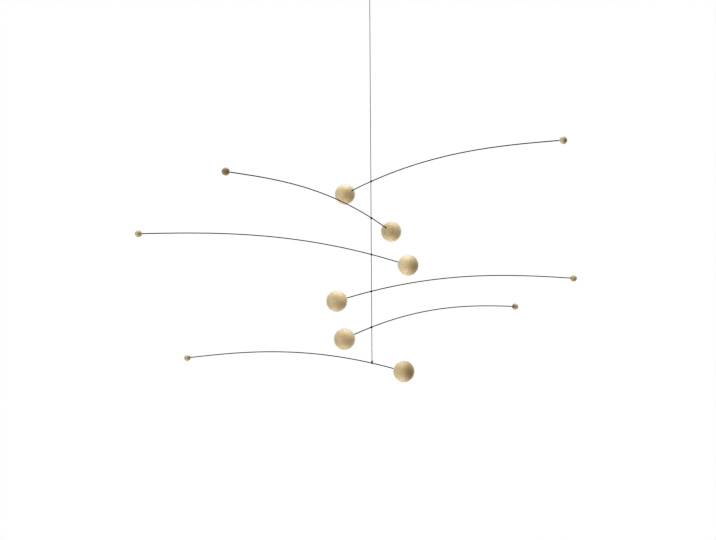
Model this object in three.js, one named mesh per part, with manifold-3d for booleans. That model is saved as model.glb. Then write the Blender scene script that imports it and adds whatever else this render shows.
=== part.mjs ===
// A hanging mobile. Six balanced arms of bowed steel wire, each with a large wooden ball on its short side
// and a small one at the far tip, are tied one below another to a single thread that ends in a loop.
// Each arm swings freely round the thread.
// Millimetres, +Z up. The origin is inside the top of the loop, on the bearing point, and the thread
// hangs down the Z axis.
import * as THREE from "three";
import { mergeVertices } from "three/addons/utils/BufferGeometryUtils.js";
import Module from "manifold-3d";

const wasm = await Module();
wasm.setup();

// --- Stock -------------------------------------------------------------------------------------------
const largeBall = 30; // diameters
const smallBall = 10;
const wireDiameter = 1.024; // 18 gauge
const threadDiameter = 0.6;
const woodDensity = 600e-9; // kg per cubic millimetre
const steelDensity = 7850e-9;
const clearance = 0.15; // kept between pieces that touch in the real mobile

// --- The bow of an arm, from the large ball's centre to the small one's --------------------------------
const armRun = 379.2; // level distance between the centres
const armRise = 38.7; // how much higher the small ball sits
const slopeAtLargeBall = 17.2; // degrees, climbing
const slopeAtSmallBall = -2.2; // degrees, just past level
const handleAtLargeBall = 158; // the longer handle flattens the bow's last third
const handleAtSmallBall = 108;
const largeHoleDepth = 12; // how far the wire goes into each ball
const smallHoleDepth = 4.5;

// --- The arms, from the top down ------------------------------------------------------------------------
// heading: degrees from +X towards +Y, the way the small ball points at rest
// lean: degrees by which the small ball's side hangs high; slip: how far the tie sits from the balance point,
// towards the small ball; drop: below the arm above, or below the origin for the first
const arms = [
  { heading: -43.0, lean: -1.0, slip: 0, drop: 290 },
  { heading: -122.8, lean: 0.4, slip: 0, drop: 52.7 },
  { heading: -176.3, lean: 0.9, slip: 0, drop: 51.7 },
  { heading: 21.6, lean: 0.1, slip: 0, drop: 52.0 },
  { heading: 45.2, lean: 2.6, slip: 1.4, drop: 50.7 },
  { heading: 149.2, lean: -2.5, slip: -1.6, drop: 50.4 },
];

// --- The thread and its knots ---------------------------------------------------------------------------
const loopHeight = 20; // from the knot up to the bearing point
const loopWidth = 11;
const loopKnot = { width: 2.5, height: 3.8 };
const loopEntry = 0.5; // how far the loop's two ends go into the knot, each loopParting off the axis
const loopParting = 0.4;
const endKnot = { width: 1.9, height: 2.8 };
const hitchTurn = 300; // degrees of thread round the wire on each side of the crossing
const hitchCrossing = 60; // degrees round the wire on either side of the crossing's middle

// --- Facets ---------------------------------------------------------------------------------------------
const largeBallFacets = [20, 12];
const smallBallFacets = [12, 8];
const roundSides = 8; // round every wire and thread
const wireSteps = 22;
const hitchSteps = 22;
const nooseSteps = 12;
const loopSteps = 24;

// The corner radius that gives a many-sided bar the same section area as the round one.
const equalArea = Math.sqrt((2 * Math.PI) / (roundSides * Math.sin((2 * Math.PI) / roundSides)));
const wireRadius = (wireDiameter / 2) * equalArea;
const threadRadius = (threadDiameter / 2) * equalArea;

// A turn of thread lies this far from the wire's axis, and so does the thread that passes beside a wire.
const wrapRadius = wireRadius + clearance + threadRadius;
const crossingRadius = wrapRadius + 2 * threadRadius + clearance;
const hitchHalfWidth = 2 * threadRadius + 2 * clearance;

const radians = THREE.MathUtils.degToRad;

const finishes = {
  wood: { color: 0xcdb388, roughness: 0.6, metalness: 0 },
  steel: { color: 0x3a3a3c, roughness: 0.45, metalness: 1 },
  thread: { color: 0x161617, roughness: 0.9, metalness: 0 },
};

function piece(name, geometry, finish) {
  const mesh = new THREE.Mesh(geometry, new THREE.MeshStandardMaterial(finishes[finish]));
  mesh.name = name;
  return mesh;
}

// --- Solids ---------------------------------------------------------------------------------------------

function toSolid(geometry) {
  const bare = geometry.clone();
  bare.deleteAttribute("normal");
  bare.deleteAttribute("uv");
  const merged = mergeVertices(bare);
  return new wasm.Manifold(
    new wasm.Mesh({
      numProp: 3,
      vertProperties: merged.attributes.position.array,
      triVerts: new Uint32Array(merged.index.array),
    }),
  );
}

function toGeometry(solid) {
  const { vertProperties, triVerts } = solid.getMesh();
  const geometry = new THREE.BufferGeometry();
  geometry.setAttribute("position", new THREE.BufferAttribute(vertProperties, 3));
  geometry.setIndex(new THREE.BufferAttribute(triVerts, 1));
  geometry.computeVertexNormals();
  return geometry;
}

// A round bar of the given corner radius along a curve.
function bar(path, radius, steps) {
  const corners = [];
  for (let i = 0; i < roundSides; i++) {
    const angle = (2 * Math.PI * i) / roundSides;
    corners.push(new THREE.Vector2(radius * Math.cos(angle), radius * Math.sin(angle)));
  }
  return new THREE.ExtrudeGeometry(new THREE.Shape(corners), { extrudePath: path, steps, bevelEnabled: false });
}

// A barrel standing on the XY plane, as a pulled-up knot is: full in the middle, round at both ends.
function barrel({ width, height }) {
  const profile = [new THREE.Vector2(0, 0)];
  for (const [across, up] of [[0.6, 0], [0.9, 0.14], [1, 0.35], [1, 0.65], [0.9, 0.86], [0.6, 1]]) {
    profile.push(new THREE.Vector2((across * width) / 2, up * height));
  }
  profile.push(new THREE.Vector2(0, height));
  return new THREE.LatheGeometry(profile, roundSides).rotateX(Math.PI / 2);
}

// --- The arm's wire and balls, in the arm's own plane: X towards the small ball, Z up, large ball at 0 ----

function handle(x, z, slope, length) {
  return new THREE.Vector3(x + length * Math.cos(radians(slope)), 0, z + length * Math.sin(radians(slope)));
}

const bow = new THREE.CubicBezierCurve3(
  new THREE.Vector3(0, 0, 0),
  handle(0, 0, slopeAtLargeBall, handleAtLargeBall),
  handle(armRun, armRise, slopeAtSmallBall, -handleAtSmallBall),
  new THREE.Vector3(armRun, 0, armRise),
);

// The stretch of the bow between two distances along it.
class Stretch extends THREE.Curve {
  constructor(from, to) {
    super();
    this.from = from / bow.getLength();
    this.to = to / bow.getLength();
  }
  getPoint(t, target) {
    return bow.getPointAt(THREE.MathUtils.lerp(this.from, this.to, t), target);
  }
}

function drilledBall(diameter, facets, centre, hole) {
  const ball = new THREE.SphereGeometry(diameter / 2, ...facets).translate(centre.x, centre.y, centre.z);
  const drill = bar(hole, wireRadius + clearance, 4);
  return toGeometry(toSolid(ball).subtract(toSolid(drill)));
}

// The holes' floors, as distances along the bow, and the room that a drill needs past a ball's surface.
const largeHoleFloor = largeBall / 2 - largeHoleDepth;
const smallHoleFloor = bow.getLength() - smallBall / 2 + smallHoleDepth;
const drillRoom = 2;

const largeBallGeometry = drilledBall(
  largeBall,
  largeBallFacets,
  bow.v0,
  new Stretch(largeHoleFloor, largeBall / 2 + drillRoom),
);
const smallBallGeometry = drilledBall(
  smallBall,
  smallBallFacets,
  bow.v3,
  new Stretch(bow.getLength() - smallBall / 2 - drillRoom, smallHoleFloor),
);
const wireGeometry = bar(
  new Stretch(largeHoleFloor + clearance, smallHoleFloor - clearance),
  wireRadius,
  wireSteps,
);

// How far along X the arm's centre of mass is from the large ball.
function balancePoint() {
  const lengths = 400;
  const ballMass = (diameter) => (woodDensity * Math.PI * diameter ** 3) / 6;
  const lengthMass = (steelDensity * Math.PI * wireDiameter ** 2 * bow.getLength()) / 4 / lengths;
  let mass = ballMass(largeBall) + ballMass(smallBall);
  let moment = ballMass(smallBall) * armRun;
  for (const point of bow.getSpacedPoints(lengths)) {
    mass += lengthMass;
    moment += lengthMass * point.x;
  }
  return moment / mass;
}

// Where the bow passes a given X: the point and the slope there.
function bowAt(x) {
  let low = 0;
  let high = 1;
  for (let halving = 0; halving < 30; halving++) {
    const middle = (low + high) / 2;
    if (bow.getPoint(middle).x < x) low = middle;
    else high = middle;
  }
  const along = bow.getTangent(low);
  return { point: bow.getPoint(low), slope: Math.atan2(along.z, along.x) };
}

// --- The ties -------------------------------------------------------------------------------------------

// A clove hitch round the wire, which runs along X: a turn on each side of the thread, and between them the
// crossing that holds the thread against the wire. The thread passes on the wire's -Y side.
class Hitch extends THREE.Curve {
  getPoint(t, target = new THREE.Vector3()) {
    const angle = THREE.MathUtils.lerp(-hitchTurn, hitchTurn, t);
    const over = Math.min(Math.abs(angle) / hitchCrossing, 1);
    const lift = Math.cos((over * Math.PI) / 2) ** 2;
    const radius = THREE.MathUtils.lerp(wrapRadius, crossingRadius, lift);
    const side = -Math.sign(angle) * Math.sin((over * Math.PI) / 2);
    return target.set(
      side * hitchHalfWidth,
      -radius * Math.cos(radians(angle)),
      radius * Math.sin(radians(angle)),
    );
  }
}

const hitchGeometry = bar(new Hitch(), threadRadius, hitchSteps);

// The knot at the thread's lower end: a noose round the wire with its turns pulled tight just above.
// The thread goes into it from the top.
function endKnotGeometry(slope) {
  const noose = new THREE.TorusGeometry(wrapRadius, threadRadius, roundSides, nooseSteps);
  noose.rotateY(Math.PI / 2 - slope);
  const turns = barrel(endKnot).translate(0, 0, wrapRadius);
  const socket = new THREE.CylinderGeometry(
    threadRadius + clearance,
    threadRadius + clearance,
    endKnot.height,
    roundSides,
  );
  socket.rotateX(Math.PI / 2).translate(0, 0, wrapRadius + 0.75 * endKnot.height);
  return toGeometry(toSolid(noose).add(toSolid(turns)).subtract(toSolid(socket)));
}

// --- Assembly -------------------------------------------------------------------------------------------

function makeArm(number, { heading, lean, slip }, height, isLast) {
  const { point, slope } = bowAt(balancePoint() + slip);
  const aside = isLast ? 0 : wrapRadius; // the thread ends above the last wire and passes beside the others
  const leaning = new THREE.Group();
  leaning.rotation.y = -radians(lean);

  const pieces = [
    piece(`arm_${number}_wire`, wireGeometry, "steel"),
    piece(`arm_${number}_large_ball`, largeBallGeometry, "wood"),
    piece(`arm_${number}_small_ball`, smallBallGeometry, "wood"),
  ];
  for (const mesh of pieces) {
    mesh.position.set(-point.x, aside, -point.z);
    leaning.add(mesh);
  }

  const arm = new THREE.Group();
  arm.position.z = height;
  arm.rotation.z = radians(heading);
  arm.add(leaning);
  if (isLast) {
    arm.add(piece(`arm_${number}_knot`, endKnotGeometry(slope + radians(lean)), "thread"));
  } else {
    const hitch = piece(`arm_${number}_hitch`, hitchGeometry, "thread");
    hitch.position.y = aside;
    hitch.rotation.y = -slope;
    leaning.add(hitch);
  }
  return arm;
}

// The loop: round at the top, where it bears, and drawn together at the knot, which its two ends enter
// side by side.
class Loop extends THREE.Curve {
  getPoint(t, target = new THREE.Vector3()) {
    const angle = 2 * Math.PI * t;
    const height = loopHeight + loopEntry + threadDiameter / 2;
    return target.set(
      (loopWidth / 1.54) * Math.sin(angle) * Math.sin(angle / 2) + loopParting * Math.cos(angle / 2),
      0,
      threadDiameter / 2 - (height * (1 + Math.cos(angle))) / 2,
    );
  }
}

function makeThread(end) {
  const top = -loopHeight - loopKnot.height / 2;
  const line = new THREE.CylinderGeometry(threadRadius, threadRadius, top - end, roundSides);
  line.rotateX(Math.PI / 2).translate(0, 0, (top + end) / 2);
  const knot = barrel(loopKnot).translate(0, 0, -loopHeight - loopKnot.height);
  const loop = bar(new Loop(), threadRadius, loopSteps);
  return piece("hanging_thread", toGeometry(toSolid(line).add(toSolid(knot)).add(toSolid(loop))), "thread");
}

const mobile = new THREE.Group();
let height = 0;
arms.forEach((arm, index) => {
  height -= arm.drop;
  mobile.add(makeArm(index + 1, arm, height, index === arms.length - 1));
});
// The thread ends inside the last knot, just clear of the socket's floor.
mobile.add(makeThread(height + wrapRadius + 0.25 * endKnot.height + clearance));

export default mobile;
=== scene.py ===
# A hanging mobile: six bowed steel wires with a turned wooden ball at each end, tied one below another
# to a black thread that ends in a loop. Metres, +Z up, the thread on the Z axis.
import math

import bmesh
import bpy
from mathutils import Matrix, Vector
from mathutils.geometry import interpolate_bezier


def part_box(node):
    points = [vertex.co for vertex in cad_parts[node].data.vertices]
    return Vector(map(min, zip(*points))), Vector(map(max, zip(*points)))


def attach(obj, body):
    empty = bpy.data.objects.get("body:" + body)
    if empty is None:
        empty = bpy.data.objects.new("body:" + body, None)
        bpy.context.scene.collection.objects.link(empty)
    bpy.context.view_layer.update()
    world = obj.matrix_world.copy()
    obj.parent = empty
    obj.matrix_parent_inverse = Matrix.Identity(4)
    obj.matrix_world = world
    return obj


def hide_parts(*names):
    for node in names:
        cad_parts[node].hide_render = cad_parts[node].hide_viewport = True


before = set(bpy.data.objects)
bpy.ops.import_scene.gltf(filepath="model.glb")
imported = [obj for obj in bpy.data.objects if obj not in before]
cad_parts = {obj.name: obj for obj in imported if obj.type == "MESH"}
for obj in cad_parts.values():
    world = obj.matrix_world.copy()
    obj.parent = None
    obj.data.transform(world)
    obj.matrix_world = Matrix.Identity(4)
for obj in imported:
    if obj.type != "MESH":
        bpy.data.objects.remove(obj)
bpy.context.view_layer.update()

# --- Stock ----------------------------------------------------------------------------------------
LARGE_BALL_RADIUS = 0.015
SMALL_BALL_RADIUS = 0.005
WIRE_RADIUS = 0.000512
THREAD_RADIUS = 0.0003

# --- The bow of an arm, the same as in the solids: a Bezier curve in the arm's own upright plane --
BOW_RUN = 0.3792
BOW_RISE = 0.0387
CLIMB_AT_LARGE_BALL = math.radians(17.2)
CLIMB_AT_SMALL_BALL = math.radians(-2.2)
HANDLE_AT_LARGE_BALL = 0.158
HANDLE_AT_SMALL_BALL = 0.108
BOW_POINTS = 160
TIE_SEARCH_STEPS = 60  # each leaves two thirds of the stretch that the tie is in

WIRE_SIDES = 16
WIRE_STEP = 0.003

# --- Drilled balls --------------------------------------------------------------------------------
BORE_RADIUS = 0.00063
BORE_CHAMFER = 0.0002
LARGE_BORE_DEPTH = 0.012
SMALL_BORE_DEPTH = 0.0045
LARGE_BALL_SIDES = 96
SMALL_BALL_SIDES = 56
WIRE_END_GAP = 0.00015  # between a wire's end and the bottom of its bore

# --- Thread ---------------------------------------------------------------------------------------
PLIES = 3
PLY_GROOVE = 0.22  # how deep the grooves between plies are, in thread radii
THREAD_SIDES = 12
THREAD_PITCH = 0.0018  # length in which the plies go once round
THREAD_STEP = 0.0002
THREAD_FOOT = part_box("hanging_thread")[0].z  # where the straight thread ends, as in the solids

# --- The loop and its knot ------------------------------------------------------------------------
LOOP_HEIGHT = 0.020
LOOP_WIDTH = 0.011
LOOP_PARTING = 0.0004  # how far off the axis each end of the loop enters the knot
LOOP_ENTRY = 0.0005
LOOP_STEPS = 96
LOOP_SPREAD = 1.54  # the greatest width of a loop with sin(angle) * sin(angle / 2) on each side
LOOP_KNOT_HEIGHT = 0.0038
LOOP_KNOT_RADIUS = 0.00084
LOOP_KNOT_BULGE = 0.00012
LOOP_KNOT_TURNS = 5.1
LOOP_KNOT_PITCH = 0.00060
LOOP_TAIL_LENGTH = 0.0022
LOOP_TAIL_RISE = -0.0012

COIL_STEPS = 24  # in each turn
TAIL_STEPS = 8

# --- The clove hitches round the wires. Angles are in degrees round the wire from the crossing ----
HITCH_TURN = 330
HITCH_CROSSING = 60
HITCH_STEPS = 110
HITCH_HALF_WIDTH = 2.2 * THREAD_RADIUS

# --- The last knot: a noose round the wire, with windings above it --------------------------------
NOOSE_START = 90  # degrees, at the top of the wire
NOOSE_TURN = 660
NOOSE_STEPS = 80
NOOSE_WIDTH = 3.5  # in thread radii, as the next two are
NOOSE_REACH = 1.05
WINDING_FOOT = 0.9
WINDING_RADIUS = 0.00070
WINDING_BULGE = 0.00008
WINDINGS = 3.1
WINDING_PITCH = 0.00057
WINDING_START = 0.9  # radians on from the noose's end
WINDING_ASIDE = Vector((0.0002, 0, 0))  # off the thread's axis
END_TAIL_LENGTH = 0.0006
END_TAIL_RISE = -0.0002

# --- The camera and the floor ---------------------------------------------------------------------
CAMERA_PLACE = (-0.0047, -1.8543, -0.5537)
CAMERA_TURN = math.radians(0.440)
CAMERA_LIFT = math.radians(4.241)
CAMERA_TILT = math.radians(-0.316)
SENSOR_WIDTH = 36
LENS = 66.195
FLOOR_RADIUS = 3.0
FLOOR_HEIGHT = -1.25

UP = Vector((0, 0, 1))


# --- Camera, floor and light ----------------------------------------------------------------------

def link(thing):
    bpy.context.scene.collection.objects.link(thing)
    return thing


def add_camera():
    """A long lens a little under two metres in front, looking slightly up."""
    camera = link(bpy.data.objects.new("camera", bpy.data.cameras.new("camera")))
    camera.data.sensor_width = SENSOR_WIDTH
    camera.data.lens = LENS
    camera.data.clip_start = 0.05
    camera.matrix_world = (
        Matrix.Translation(CAMERA_PLACE)
        @ Matrix.Rotation(CAMERA_TURN, 4, "Z")
        @ Matrix.Rotation(math.pi / 2 + CAMERA_LIFT, 4, "X")
        @ Matrix.Rotation(CAMERA_TILT, 4, "Z")
    )
    bpy.context.scene.camera = camera


# Soft light from all round. Each row is a direction that light comes from and how much it adds there.
STUDIO_LIGHT = (
    ((0, 0, 1), 2.25),  # the large softbox overhead
    ((1, 0, 1), 1.35),  # a second one, high on the right
    ((-1, -1, 1), 0.30),  # a tall white screen beside the viewer, on the left
    ((-1, -1, 0), 0.82),
    ((-1, -1, -1), 0.52),
    ((-1, 0, 0), 0.48),
    ((1, -1, 0), 0.54),
    ((0, 0, -1), 2.35),  # the pale floor
    ((0, 1, 0), 1.70),  # the lit backdrop
    ((0, 1, -1), 0.20),
)
LIGHT_FALLOFF = 4.0  # a higher power makes each light narrower
DISPLAY_GAMMA = 0.55  # deepens the hairlines of wire and thread against white


def add_studio():
    """A white backdrop that the camera sees, and the soft light that falls on the mobile."""
    world = bpy.data.worlds.new("studio")
    bpy.context.scene.world = world
    world.use_nodes = True
    nodes, links = world.node_tree.nodes, world.node_tree.links
    direction = nodes.new("ShaderNodeTexCoord").outputs["Generated"]
    total = None
    for towards, strength in STUDIO_LIGHT:
        facing = nodes.new("ShaderNodeVectorMath")
        facing.operation = "DOT_PRODUCT"
        links.new(direction, facing.inputs[0])
        facing.inputs[1].default_value = Vector(towards).normalized()
        above = nodes.new("ShaderNodeMath")
        above.operation = "MAXIMUM"
        links.new(facing.outputs["Value"], above.inputs[0])
        above.inputs[1].default_value = 0
        falloff = nodes.new("ShaderNodeMath")
        falloff.operation = "POWER"
        links.new(above.outputs[0], falloff.inputs[0])
        falloff.inputs[1].default_value = LIGHT_FALLOFF
        added = nodes.new("ShaderNodeMath")
        added.operation = "MULTIPLY_ADD"
        links.new(falloff.outputs[0], added.inputs[0])
        added.inputs[1].default_value = strength
        if total:
            links.new(total, added.inputs[2])
        else:
            added.inputs[2].default_value = 0
        total = added.outputs[0]
    seen = nodes.new("ShaderNodeMix")
    links.new(nodes.new("ShaderNodeLightPath").outputs["Is Camera Ray"], seen.inputs[0])
    links.new(total, seen.inputs[2])
    seen.inputs[3].default_value = 1.0
    links.new(seen.outputs[0], nodes["Background"].inputs["Strength"])
    nodes["Background"].inputs["Color"].default_value = (1, 1, 1, 1)


def add_floor():
    """A wide pale plaster floor, far enough below to stay out of the front view."""
    bm = bmesh.new()
    bmesh.ops.create_circle(bm, cap_ends=True, segments=128, radius=FLOOR_RADIUS)
    bmesh.ops.translate(bm, verts=bm.verts, vec=(0, 0, FLOOR_HEIGHT))
    plaster = Finish("floor_plaster")
    place = plaster.add("TexCoord", {}, output="Object")
    mottle = plaster.noise(place, 0.25, 4)
    colour = plaster.blend(mottle, (0.86, 0.86, 0.86), (0.93, 0.93, 0.93))
    plaster.wire(colour, plaster.shader.inputs["Base Color"])
    plaster.shader.inputs["Roughness"].default_value = 0.9
    floor = finished(bm, "floor", plaster.material)
    floor.visible_diffuse = floor.visible_glossy = floor.visible_shadow = False


# --- Bars laid along routes -----------------------------------------------------------------------

class Route:
    """A line through points, with a sideways direction carried along it without twist."""

    def __init__(self, points, side):
        self.points = [Vector(point) for point in points]
        self.distances = [0.0]
        for before, after in zip(self.points, self.points[1:]):
            self.distances.append(self.distances[-1] + (after - before).length)
        self.length = self.distances[-1]
        self.tangents = []
        self.sides = []
        side = Vector(side)
        last = len(self.points) - 1
        for i in range(last + 1):
            tangent = (self.points[min(i + 1, last)] - self.points[max(i - 1, 0)]).normalized()
            side = (side - tangent * side.dot(tangent)).normalized()
            self.tangents.append(tangent)
            self.sides.append(side)

    def frame(self, distance):
        """The point at a distance along the route, with the tangent and the side direction there."""
        low, high = 0, len(self.points) - 2
        while low < high:
            middle = (low + high + 1) // 2
            if self.distances[middle] <= distance:
                low = middle
            else:
                high = middle - 1
        span = self.distances[low + 1] - self.distances[low]
        share = (distance - self.distances[low]) / span
        point = self.points[low].lerp(self.points[low + 1], share)
        tangent = self.tangents[low].lerp(self.tangents[low + 1], share).normalized()
        side = self.sides[low].lerp(self.sides[low + 1], share)
        side = (side - tangent * side.dot(tangent)).normalized()
        return point, tangent, side


SPUN_STEPS = 16  # the most steps that a bar is spun in before it is doubled


def straight_bar(length, radius, sides, step, plies=0, pitch=0.0):
    """A closed bar up the Z axis. With plies it is laid up like thread, one turn to each pitch.
    A short bar is spun first, and then doubled until it is long enough."""
    doublings = max(0, math.ceil(math.log2(length / step / SPUN_STEPS)))
    part = length / 2**doublings
    turn = 2 * math.pi * part / pitch if pitch else 0.0
    steps = max(2, round(part / step))
    bm = bmesh.new()
    bmesh.ops.create_circle(bm, segments=sides, radius=radius)
    if plies:
        for vert in bm.verts:
            angle = math.atan2(vert.co.y, vert.co.x)
            vert.co *= 1 - PLY_GROOVE * (1 - math.cos(plies * angle)) / 2
    bmesh.ops.spin(
        bm,
        geom=bm.verts[:] + bm.edges[:],
        cent=(0, 0, 0),
        axis=(0, 0, 1),
        dvec=(0, 0, part / steps),
        angle=turn,
        steps=steps,
        use_merge=False,
    )
    for _ in range(doublings):
        copy = bmesh.ops.duplicate(bm, geom=bm.verts[:] + bm.edges[:] + bm.faces[:])["geom"]
        verts = [item for item in copy if isinstance(item, bmesh.types.BMVert)]
        bmesh.ops.transform(
            bm, matrix=Matrix.Translation((0, 0, part)) @ Matrix.Rotation(turn, 4, "Z"), verts=verts
        )
        part *= 2
        turn *= 2
    bmesh.ops.remove_doubles(bm, verts=bm.verts, dist=1e-6)
    bmesh.ops.holes_fill(bm, edges=[edge for edge in bm.edges if edge.is_boundary], sides=0)
    return bm


def lay_along(bm, route, start=0.0):
    """Bends a straight bar onto a route, and keeps where each point was on the straight one."""
    straight = bm.verts.layers.float_vector.new("straight")
    for vert in bm.verts:
        x, y, distance = vert.co
        vert[straight] = (x, y, distance)
        point, tangent, side = route.frame(start + distance)
        vert.co = point + side * x + tangent.cross(side) * y
    return bm


def finished(bm, name, material):
    """Turns a bmesh into a piece with closed seams and its faces pointing out."""
    bmesh.ops.remove_doubles(bm, verts=bm.verts, dist=1e-7)
    bmesh.ops.recalc_face_normals(bm, faces=bm.faces)
    mesh = bpy.data.meshes.new(name)
    bm.to_mesh(mesh)
    bm.free()
    mesh.shade_smooth()
    mesh.materials.append(material)
    return link(bpy.data.objects.new(name, mesh))


def thread_piece(name, points, side, material):
    """A length of twisted thread along points."""
    route = Route(points, side)
    outer_radius = THREAD_RADIUS / (1 - PLY_GROOVE / 2)
    bar = straight_bar(route.length, outer_radius, THREAD_SIDES, THREAD_STEP, PLIES, THREAD_PITCH)
    return finished(lay_along(bar, route), name, material), route


# --- Materials ------------------------------------------------------------------------------------

class Finish:
    """A new material, with short ways to add nodes and to wire them together."""

    def __init__(self, name):
        self.material = bpy.data.materials.new(name)
        self.material.use_nodes = True
        self.tree = self.material.node_tree
        self.shader = self.tree.nodes["Principled BSDF"]

    def wire(self, value, socket):
        """Wires the socket to a node's output, or sets it to a plain value."""
        if isinstance(value, bpy.types.NodeSocket):
            self.tree.links.new(value, socket)
        else:
            socket.default_value = value

    def add(self, kind, inputs, output=0, **settings):
        node = self.tree.nodes.new("ShaderNode" + kind)
        for setting, choice in settings.items():
            setattr(node, setting, choice)
        for socket, value in inputs.items():
            self.wire(value, node.inputs[socket])
        return node.outputs[output]

    def sum(self, first, second):
        return self.add("Math", {0: first, 1: second}, operation="ADD")

    def product(self, first, second):
        return self.add("Math", {0: first, 1: second}, operation="MULTIPLY")

    def ramp(self, value, low, high, to_low=0.0, to_high=1.0):
        """Goes smoothly from to_low to to_high as the value goes from low to high."""
        inputs = {"Value": value, "From Min": low, "From Max": high, "To Min": to_low, "To Max": to_high}
        return self.add("MapRange", inputs, interpolation_type="SMOOTHSTEP")

    def blend(self, share, first, second):
        """A colour between the first and the second."""
        colours = {0: share, 6: (*first, 1) if isinstance(first, tuple) else first}
        colours[7] = (*second, 1) if isinstance(second, tuple) else second
        return self.add("Mix", colours, output=2, data_type="RGBA")

    def stretched(self, place, scale):
        return self.add("Mapping", {"Vector": place, "Scale": scale})

    def noise(self, place, size, detail=2.0):
        """Noise from 0 to 1 whose patches are about size across."""
        return self.add("TexNoise", {"Vector": place, "Scale": 1 / size, "Detail": detail})

    def bump(self, height, depth, strength):
        """Raises the surface by up to depth where height is 1."""
        inputs = {"Height": height, "Distance": depth, "Strength": strength}
        self.wire(self.add("Bump", inputs), self.shader.inputs["Normal"])


# Two boards were used. Each has the colour of its palest wood and of its darkest.
BEECH = ((0.81, 0.69, 0.46), (0.40, 0.27, 0.09))
GREYER_BEECH = ((0.73, 0.65, 0.46), (0.29, 0.20, 0.06))
WOOD_FLECK = (0.250, 0.130, 0.050)
PITH_DISTANCE = 0.052  # from a ball's centre to the middle of the tree
RING_WIDTH = 0.0023
RING_SWAY = 2.6  # how far the rings wander, in rings
FIBRE_WIDTH = 0.00034
PORE_WIDTH = 0.00013
FLECKS_PER_METRE = 640
PALE_SHIFT = 0.32  # brings a ball of tone 0 near its board's palest wood


def board_direction(angle, tip):
    """A direction at an angle from +X up towards +Z, tipped towards +Y."""
    return Vector((math.cos(math.radians(angle)), tip, math.sin(math.radians(angle)))).normalized()


def turned_wood(name, centre, radius, cut):
    """Close-grained pale hardwood. The growth rings are centred well outside the ball, towards the pith,
    and that side is darkened, partly as heartwood and partly as painted shade."""
    board, grain_angle, pith_angle, heart_and_shade, tone = cut
    grain = board_direction(grain_angle, tip=0.25)
    towards_pith = board_direction(pith_angle, tip=0.1)
    pith = (towards_pith - grain * grain.dot(towards_pith)).normalized()
    turn = Matrix((pith, grain.cross(pith), grain)).transposed().to_euler()
    wood = Finish(name)
    objects = wood.add("TexCoord", {}, output="Object")
    place = wood.add(
        "Mapping", {"Vector": objects, "Location": centre, "Rotation": turn}, vector_type="TEXTURE"
    )

    # Growth rings: pale early wood that darkens slowly and then ends at a sharp line.
    sway = wood.noise(wood.stretched(place, (1, 1, 0.4)), 0.016)
    flat = wood.add(
        "VectorMath",
        {0: place, 1: (1, 1, 0), 2: (-PITH_DISTANCE, 0, 0)},
        operation="MULTIPLY_ADD",
    )
    distance = wood.add("VectorMath", {0: flat}, output="Value", operation="LENGTH")
    phase = wood.sum(wood.product(distance, 1 / RING_WIDTH), wood.product(sway, RING_SWAY))
    phase = wood.add("Math", {0: phase}, operation="FRACT")
    late_wood = wood.product(wood.ramp(phase, 0.25, 0.94), wood.ramp(phase, 1.0, 0.94))

    # Fibres and pores run along the grain, and short flecks lie among them.
    fibres = wood.noise(wood.stretched(place, (1, 1, 0.035)), FIBRE_WIDTH, 3)
    pores = wood.noise(wood.stretched(place, (1, 1, 0.09)), PORE_WIDTH, 1)
    open_pores = wood.ramp(pores, 0.62, 0.74)
    cells = wood.add(
        "TexVoronoi",
        {"Vector": wood.stretched(place, (1, 1, 0.26)), "Scale": FLECKS_PER_METRE, "Randomness": 1},
    )
    flecks = wood.product(wood.ramp(cells, 0.23, 0.12), wood.ramp(wood.noise(place, 0.004), 0.42, 0.62))

    # Slow changes of tone: in patches, towards the heart (partly heartwood, partly painted shade), and at
    # both ends of the grain.
    broad = wood.noise(wood.stretched(place, (1, 1, 0.35)), 0.011, 3)
    across = wood.add("SeparateXYZ", {0: place}, output="X")
    # Heartwood together with painted shade: the colour darkens across the ball towards the side of its
    # pith.
    heart_and_shade_side = wood.product(wood.ramp(across, -0.6 * radius, 1.1 * radius), heart_and_shade)
    along_grain = wood.add("SeparateXYZ", {0: place}, output="Z")
    end_grain = wood.ramp(wood.add("Math", {0: along_grain}, operation="ABSOLUTE"), 0.6 * radius, radius)

    depth = wood.sum(wood.product(late_wood, 0.15), tone - PALE_SHIFT)
    depth = wood.sum(depth, wood.product(fibres, 0.18))
    depth = wood.sum(depth, wood.product(broad, 0.46))
    depth = wood.sum(depth, heart_and_shade_side)
    depth = wood.sum(depth, wood.product(end_grain, 0.08))
    depth = wood.sum(depth, wood.product(open_pores, 0.09))
    colour = wood.blend(depth, *board)
    colour = wood.blend(wood.product(flecks, 0.30), colour, WOOD_FLECK)
    wood.wire(colour, wood.shader.inputs["Base Color"])
    wood.wire(wood.ramp(fibres, 0.2, 0.8, 0.46, 0.62), wood.shader.inputs["Roughness"])
    relief = wood.sum(wood.product(fibres, 0.5), wood.product(open_pores, -0.6))
    relief = wood.sum(relief, wood.product(late_wood, 0.25))
    wood.bump(relief, 0.00003, 0.5)
    wood.shader.inputs["Sheen Weight"].default_value = 1.0
    wood.shader.inputs["Sheen Roughness"].default_value = 0.6
    wood.shader.inputs["Coat Weight"].default_value = 1.0
    wood.shader.inputs["Coat Roughness"].default_value = 0.25
    return wood.material


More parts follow.
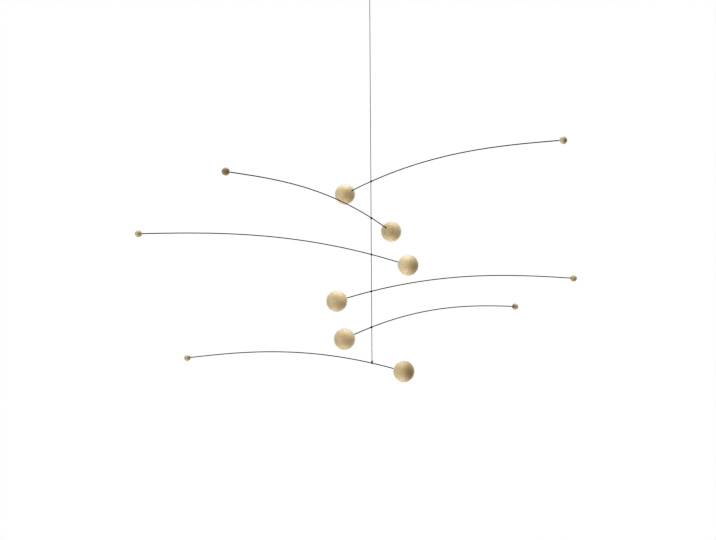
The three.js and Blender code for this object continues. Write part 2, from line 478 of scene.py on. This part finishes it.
def drawn_steel():
    """Dark satin steel wire, with the fine lengthwise lines of the die and patches of darker scale."""
    steel = Finish("drawn_steel")
    straight = steel.add("Attribute", {}, output="Vector", attribute_name="straight")
    lines = steel.noise(steel.stretched(straight, (1, 1, 0.004)), 0.00010, 2)
    patches = steel.noise(steel.stretched(straight, (1, 1, 0.15)), 0.0014, 3)
    shade = steel.sum(steel.product(lines, 0.6), steel.product(patches, 0.4))
    colour = steel.blend(steel.ramp(shade, 0.35, 0.7), (0.030, 0.030, 0.032), (0.100, 0.098, 0.095))
    steel.wire(colour, steel.shader.inputs["Base Color"])
    steel.wire(steel.ramp(patches, 0.3, 0.7, 0.26, 0.42), steel.shader.inputs["Roughness"])
    steel.shader.inputs["Metallic"].default_value = 1.0
    steel.bump(lines, 0.000012, 0.6)
    return steel.material


def black_yarn():
    """Matt black thread. Its fibres run along the plies, so their pattern is turned with the twist."""
    yarn = Finish("black_yarn")
    straight = yarn.add("Attribute", {}, output="Vector", attribute_name="straight")
    height = yarn.add("SeparateXYZ", {0: straight}, output="Z")
    angle = yarn.product(height, -2 * math.pi / THREAD_PITCH)
    untwisted = yarn.add("VectorRotate", {"Vector": straight, "Angle": angle}, rotation_type="Z_AXIS")
    fibres = yarn.noise(yarn.stretched(untwisted, (1, 1, 0.05)), 0.00006, 3)
    dust = yarn.noise(straight, 0.0006, 2)
    shade = yarn.sum(yarn.product(fibres, 0.8), yarn.product(dust, 0.2))
    colour = yarn.blend(yarn.ramp(shade, 0.35, 0.75), (0.004, 0.004, 0.005), (0.030, 0.030, 0.032))
    yarn.wire(colour, yarn.shader.inputs["Base Color"])
    yarn.wire(yarn.ramp(fibres, 0.3, 0.7, 0.75, 0.95), yarn.shader.inputs["Roughness"])
    yarn.shader.inputs["Sheen Weight"].default_value = 0.08
    yarn.bump(fibres, 0.00003, 0.8)
    return yarn.material


# --- The hanging thread ---------------------------------------------------------------------------

def loop_point(share):
    """A point on the loop, which is round at the top and drawn together at the knot."""
    angle = 2 * math.pi * share
    spread = LOOP_WIDTH / LOOP_SPREAD * math.sin(angle) * math.sin(angle / 2)
    parting = LOOP_PARTING * math.cos(angle / 2)
    height = LOOP_HEIGHT + LOOP_ENTRY + THREAD_RADIUS
    return Vector((spread + parting, 0, THREAD_RADIUS - height * (1 + math.cos(angle)) / 2))


def hanging_thread(material):
    """The thread from the last knot straight up, and round its loop back to the loop's knot."""
    points = [Vector((0, 0, THREAD_FOOT)), Vector((0, 0, -LOOP_HEIGHT - LOOP_KNOT_HEIGHT))]
    points += [loop_point(step / LOOP_STEPS) for step in range(LOOP_STEPS + 1)]
    return thread_piece("hanging_thread_laid", points, (0, 1, 0), material)


def coil(turns, pitch, radius, foot, bulge):
    """Points on a coil round the Z axis from foot upwards, a little fuller in the middle."""
    steps = round(turns * COIL_STEPS)
    points = []
    for step in range(steps + 1):
        share = step / steps
        angle = 2 * math.pi * turns * share
        reach = radius + bulge * math.sin(math.pi * share)
        height = foot + pitch * turns * share
        points.append(Vector((reach * math.cos(angle), reach * math.sin(angle), height)))
    return points


def with_tail(points, length, rise):
    """Lets the last turn of a coil run out into a short cut end."""
    end = points[-1]
    along = (points[-1] - points[-2]).normalized()
    tail = []
    for step in range(1, TAIL_STEPS + 1):
        share = step / TAIL_STEPS
        tail.append(end + along * length * share + Vector((0, 0, rise * share * share)))
    return points + tail


def loop_knot(material):
    """The knot that closes the loop: turns wound round the thread, and the thread's cut end below them."""
    foot = -LOOP_HEIGHT - LOOP_KNOT_HEIGHT + THREAD_RADIUS
    points = coil(LOOP_KNOT_TURNS, LOOP_KNOT_PITCH, LOOP_KNOT_RADIUS, foot, LOOP_KNOT_BULGE)
    points = with_tail(points[::-1], LOOP_TAIL_LENGTH, LOOP_TAIL_RISE)
    return thread_piece("loop_knot", points, UP, material)[0]


# --- Arms -----------------------------------------------------------------------------------------

class Arm:
    """Where one arm is, worked out from the solids of its two balls."""

    def __init__(self, number):
        self.number = number
        self.large = self.middle("large_ball")
        self.small = self.middle("small_ball")
        chord = self.small - self.large
        level = Vector((chord.x, chord.y, 0))
        heading = level.normalized()
        lean = math.atan2(chord.z, level.length) - math.atan2(BOW_RISE, BOW_RUN)

        def direction(climb):
            return heading * math.cos(climb + lean) + UP * math.sin(climb + lean)

        points = interpolate_bezier(
            self.large,
            self.large + direction(CLIMB_AT_LARGE_BALL) * HANDLE_AT_LARGE_BALL,
            self.small - direction(CLIMB_AT_SMALL_BALL) * HANDLE_AT_SMALL_BALL,
            self.small,
            BOW_POINTS,
        )
        self.bow = Route(points, heading.cross(UP))

    def middle(self, part):
        low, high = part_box(f"arm_{self.number}_{part}")
        return (low + high) / 2

    def tie(self):
        """The point of the bow nearest the thread, and the bow's direction there."""
        low, high = 0.0, self.bow.length
        for _ in range(TIE_SEARCH_STEPS):
            third = (high - low) / 3
            near, far = (self.bow.frame(d)[0].to_2d().length for d in (low + third, high - third))
            if near < far:
                high -= third
            else:
                low += third
        point, tangent, _ = self.bow.frame(low)
        return point, tangent


def bowed_wire(arm, material):
    start = LARGE_BALL_RADIUS - LARGE_BORE_DEPTH + WIRE_END_GAP
    end = SMALL_BALL_RADIUS - SMALL_BORE_DEPTH + WIRE_END_GAP
    bar = straight_bar(arm.bow.length - start - end, WIRE_RADIUS, WIRE_SIDES, WIRE_STEP)
    return finished(lay_along(bar, arm.bow, start), f"arm_{arm.number}_bowed_wire", material)


def turned_ball(name, radius, bore_depth, centre, mouth, sides, material):
    """A ball turned on the axis of its bore, which points at mouth. The profile runs from the bottom of
    the bore up its wall, over the chamfered edge and round to the far pole."""
    bm = bmesh.new()
    edge = BORE_RADIUS + BORE_CHAMFER
    edge_angle = math.asin(edge / radius)
    rim = radius * math.cos(edge_angle)
    floor = radius - bore_depth
    profile = [
        (0, floor - 0.5 * BORE_RADIUS),  # the drill's point
        (BORE_RADIUS, floor),
        (BORE_RADIUS, rim - 1.5 * BORE_CHAMFER),
        (BORE_RADIUS + 0.25 * BORE_CHAMFER, rim - 0.6 * BORE_CHAMFER),
    ]
    arc = sides // 2
    for step in range(arc + 1):
        angle = edge_angle + (math.pi - edge_angle) * step / arc
        profile.append((radius * math.sin(angle), radius * math.cos(angle)))
    verts = [bm.verts.new((max(across, 0.0), 0, up)) for across, up in profile]
    edges = [bm.edges.new(pair) for pair in zip(verts, verts[1:])]
    bmesh.ops.spin(
        bm,
        geom=verts + edges,
        cent=(0, 0, 0),
        axis=(0, 0, 1),
        dvec=(0, 0, 0),
        angle=2 * math.pi,
        steps=sides,
        use_merge=True,
    )
    turn = (mouth - centre).to_track_quat("Z", "Y").to_matrix().to_4x4()
    bmesh.ops.transform(bm, matrix=Matrix.Translation(centre) @ turn, verts=bm.verts)
    return finished(bm, name, material)


# How each ball was cut, arm by arm: from which board, the way its grain runs and the way to the pith, both
# as angles from +X up towards +Z, how much heartwood it holds, with painted shade, darkening the pith
# side, and how dark it is.
LARGE_BALL_CUTS = (
    (BEECH, 50, -8, 0.45, 0.03),
    (BEECH, 140, -40, 0.20, 0.26),
    (BEECH, 84, -10, 1.05, -0.10),
    (BEECH, 8, -90, 0.25, 0.11),
    (BEECH, 14, -74, 0.30, 0.17),
    (BEECH, 95, -5, 1.15, 0.16),
)
SMALL_BALL_CUTS = (
    (GREYER_BEECH, 80, -8, 1.40, 0.00),
    (GREYER_BEECH, 75, -10, 0.20, 0.70),
    (GREYER_BEECH, 80, -15, 0.50, 0.08),
    (GREYER_BEECH, 40, -50, 0.75, 0.14),
    (GREYER_BEECH, 95, 180, 0.55, 0.36),
    (GREYER_BEECH, 60, -20, 0.50, 0.03),
)


def large_ball(arm):
    name = f"arm_{arm.number}_large_turned_ball"
    cut = LARGE_BALL_CUTS[arm.number - 1]
    wood = turned_wood(f"wood_{name}", arm.large, LARGE_BALL_RADIUS, cut)
    mouth = arm.bow.frame(LARGE_BALL_RADIUS)[0]
    return turned_ball(name, LARGE_BALL_RADIUS, LARGE_BORE_DEPTH, arm.large, mouth, LARGE_BALL_SIDES, wood)


def small_ball(arm):
    name = f"arm_{arm.number}_small_turned_ball"
    cut = SMALL_BALL_CUTS[arm.number - 1]
    wood = turned_wood(f"wood_{name}", arm.small, SMALL_BALL_RADIUS, cut)
    mouth = arm.bow.frame(arm.bow.length - SMALL_BALL_RADIUS)[0]
    return turned_ball(name, SMALL_BALL_RADIUS, SMALL_BORE_DEPTH, arm.small, mouth, SMALL_BALL_SIDES, wood)


def hitch_points(tie, along, out):
    """A clove hitch round the wire: a turn on each side of the thread and a crossing over it."""
    wrap_radius = WIRE_RADIUS + THREAD_RADIUS
    crossing_radius = tie.to_2d().length + 2 * THREAD_RADIUS
    top = out.cross(along)
    points = []
    for step in range(HITCH_STEPS + 1):
        angle = -HITCH_TURN + 2 * HITCH_TURN * step / HITCH_STEPS
        over = min(abs(angle) / HITCH_CROSSING, 1)
        lift = math.cos(over * math.pi / 2) ** 2
        radius = wrap_radius + (crossing_radius - wrap_radius) * lift
        side = -math.copysign(math.sin(over * math.pi / 2), angle)
        turned = math.radians(angle)
        points.append(
            tie
            + along * side * HITCH_HALF_WIDTH
            + out * radius * math.cos(turned)
            + top * radius * math.sin(turned)
        )
    return points


def hitch(arm, material):
    tie, along = arm.tie()
    out = Vector((-tie.x, -tie.y, 0)).normalized()
    points = hitch_points(tie, along, out)
    return thread_piece(f"arm_{arm.number}_clove_hitch", points, along, material)[0]


def end_knot(arm, material):
    """The last knot: nearly two turns round the wire, and three windings pulled tight above them."""
    tie, along = arm.tie()
    tie.x = tie.y = 0
    radius = WIRE_RADIUS + NOOSE_REACH * THREAD_RADIUS
    beside = along.cross(UP).normalized()
    top = beside.cross(along)
    noose = []
    for step in range(NOOSE_STEPS + 1):
        share = step / NOOSE_STEPS
        angle = math.radians(NOOSE_START + NOOSE_TURN * step / NOOSE_STEPS)
        shift = along * (share - 0.5) * NOOSE_WIDTH * THREAD_RADIUS
        noose.append(tie + shift + beside * radius * math.cos(angle) + top * radius * math.sin(angle))
    foot = tie.z + radius + WINDING_FOOT * THREAD_RADIUS
    start = math.atan2(noose[-1].y, noose[-1].x)
    turned = Matrix.Rotation(start + WINDING_START, 4, "Z")
    windings = coil(WINDINGS, WINDING_PITCH, WINDING_RADIUS, foot, WINDING_BULGE)
    windings = [WINDING_ASIDE + turned @ point for point in windings]
    points = with_tail(noose + windings, END_TAIL_LENGTH, END_TAIL_RISE)
    return thread_piece("arm_6_end_knot", points, along, material)[0]


# --- The mobile -----------------------------------------------------------------------------------

def fit(piece, body, node):
    """The piece moves with its body, and is shown instead of its plain solid."""
    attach(piece, body)
    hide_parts(node)
    return piece


add_camera()
add_studio()
add_floor()
black = black_yarn()
steel = drawn_steel()

thread, thread_route = hanging_thread(black)
fit(thread, "thread", "hanging_thread")
knot = fit(loop_knot(black), "thread", "hanging_thread")

for number in range(1, 7):
    arm = Arm(number)
    body = f"arm_{number}"
    fit(bowed_wire(arm, steel), body, f"{body}_wire")
    fit(large_ball(arm), body, f"{body}_large_ball")
    fit(small_ball(arm), body, f"{body}_small_ball")
    if number < 6:
        fit(hitch(arm, black), body, f"{body}_hitch")
    else:
        fit(end_knot(arm, black), body, f"{body}_knot")

bpy.context.scene.view_settings.view_transform = "Standard"
bpy.context.scene.view_settings.gamma = DISPLAY_GAMMA
